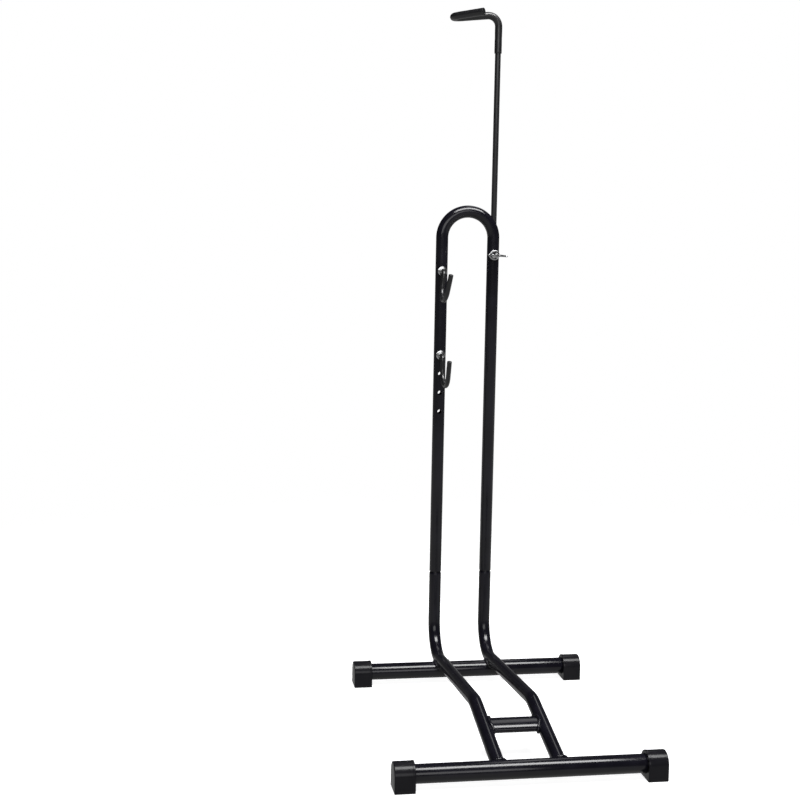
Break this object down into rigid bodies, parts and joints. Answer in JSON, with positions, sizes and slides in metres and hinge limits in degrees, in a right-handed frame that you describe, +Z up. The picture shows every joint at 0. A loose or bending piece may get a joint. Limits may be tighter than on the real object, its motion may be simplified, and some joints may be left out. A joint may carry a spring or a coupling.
{
  "type": "bike stand",
  "caption": "Floor stand for a bicycle: low tube base with a wheel slot between two rails, a plug-in bent-tube upright with J-hooks, and a sliding hook rod held by a wing screw.",
  "frame": {"origin": "on the floor, under the middle of the stand's bounding box", "axes": "+Z up, X along the crossbars, -Y the side where the wheel rolls in"},
  "size_m": [0.362, 0.5116, 1.0425],
  "materials": {
    "powder_coat": "glossy black powder coat on steel tube",
    "rod_coat": "satin black coat on steel rod",
    "foot_moulding": "black moulded plastic",
    "sleeve_plastic": "soft black plastic tube",
    "bright_zinc": "bright zinc plate on steel"
  },
  "bodies": {
    "base": {"front_crossbar": "powder_coat", "rear_crossbar": "powder_coat", "front_left_foot": "foot_moulding", "front_right_foot": "foot_moulding", "rear_left_foot": "foot_moulding", "rear_right_foot": "foot_moulding", "left_rail": "powder_coat", "right_rail": "powder_coat", "rung": "powder_coat"},
    "upright_frame": {"upright": "powder_coat", "clamp_insert": "bright_zinc", "upper_hook_front_washer": "bright_zinc", "upper_hook_front_nut": "bright_zinc", "upper_hook_rear_washer": "bright_zinc", "upper_hook_rear_nut": "bright_zinc", "lower_hook_front_washer": "bright_zinc", "lower_hook_front_nut": "bright_zinc", "lower_hook_rear_washer": "bright_zinc", "lower_hook_rear_nut": "bright_zinc"},
    "upper_hook": {"upper_hook_wire": "bright_zinc", "upper_hook_sleeve": "sleeve_plastic"},
    "lower_hook": {"lower_hook_wire": "bright_zinc", "lower_hook_sleeve": "sleeve_plastic"},
    "rod_guide": {"rod_end_plug": "foot_moulding"},
    "top_hook": {"hook_rod": "rod_coat", "hook_sleeve": "sleeve_plastic"},
    "clamp_screw": {"wing_screw": "bright_zinc"}
  },
  "joints": [
    {"name": "frame_lift", "type": "slide", "parent": "base", "child": "upright_frame", "axis": [0, 0, 1], "range_m": [0, 0.045]},
    {"name": "upper_hook_swivel", "type": "hinge", "parent": "upright_frame", "child": "upper_hook", "pos_m": [-0.041, 0.23775, 0.644], "axis": [0, 1, 0], "continuous": true},
    {"name": "lower_hook_swivel", "type": "hinge", "parent": "upright_frame", "child": "lower_hook", "pos_m": [-0.041, 0.23775, 0.512], "axis": [0, 1, 0], "continuous": true},
    {"name": "rod_slide", "type": "slide", "parent": "upright_frame", "child": "rod_guide", "axis": [0, 0, 1], "range_m": [-0.248, 0.185]},
    {"name": "rod_turn", "type": "hinge", "parent": "rod_guide", "child": "top_hook", "pos_m": [0.041, 0.23775, 1.037], "axis": [0, 0, 1], "continuous": true},
    {"name": "wing_screw_turn", "type": "hinge", "parent": "upright_frame", "child": "clamp_screw", "pos_m": [0.041, 0.23775, 0.67], "axis": [0, -1, 0], "range_deg": [0, 720]}
  ]
}
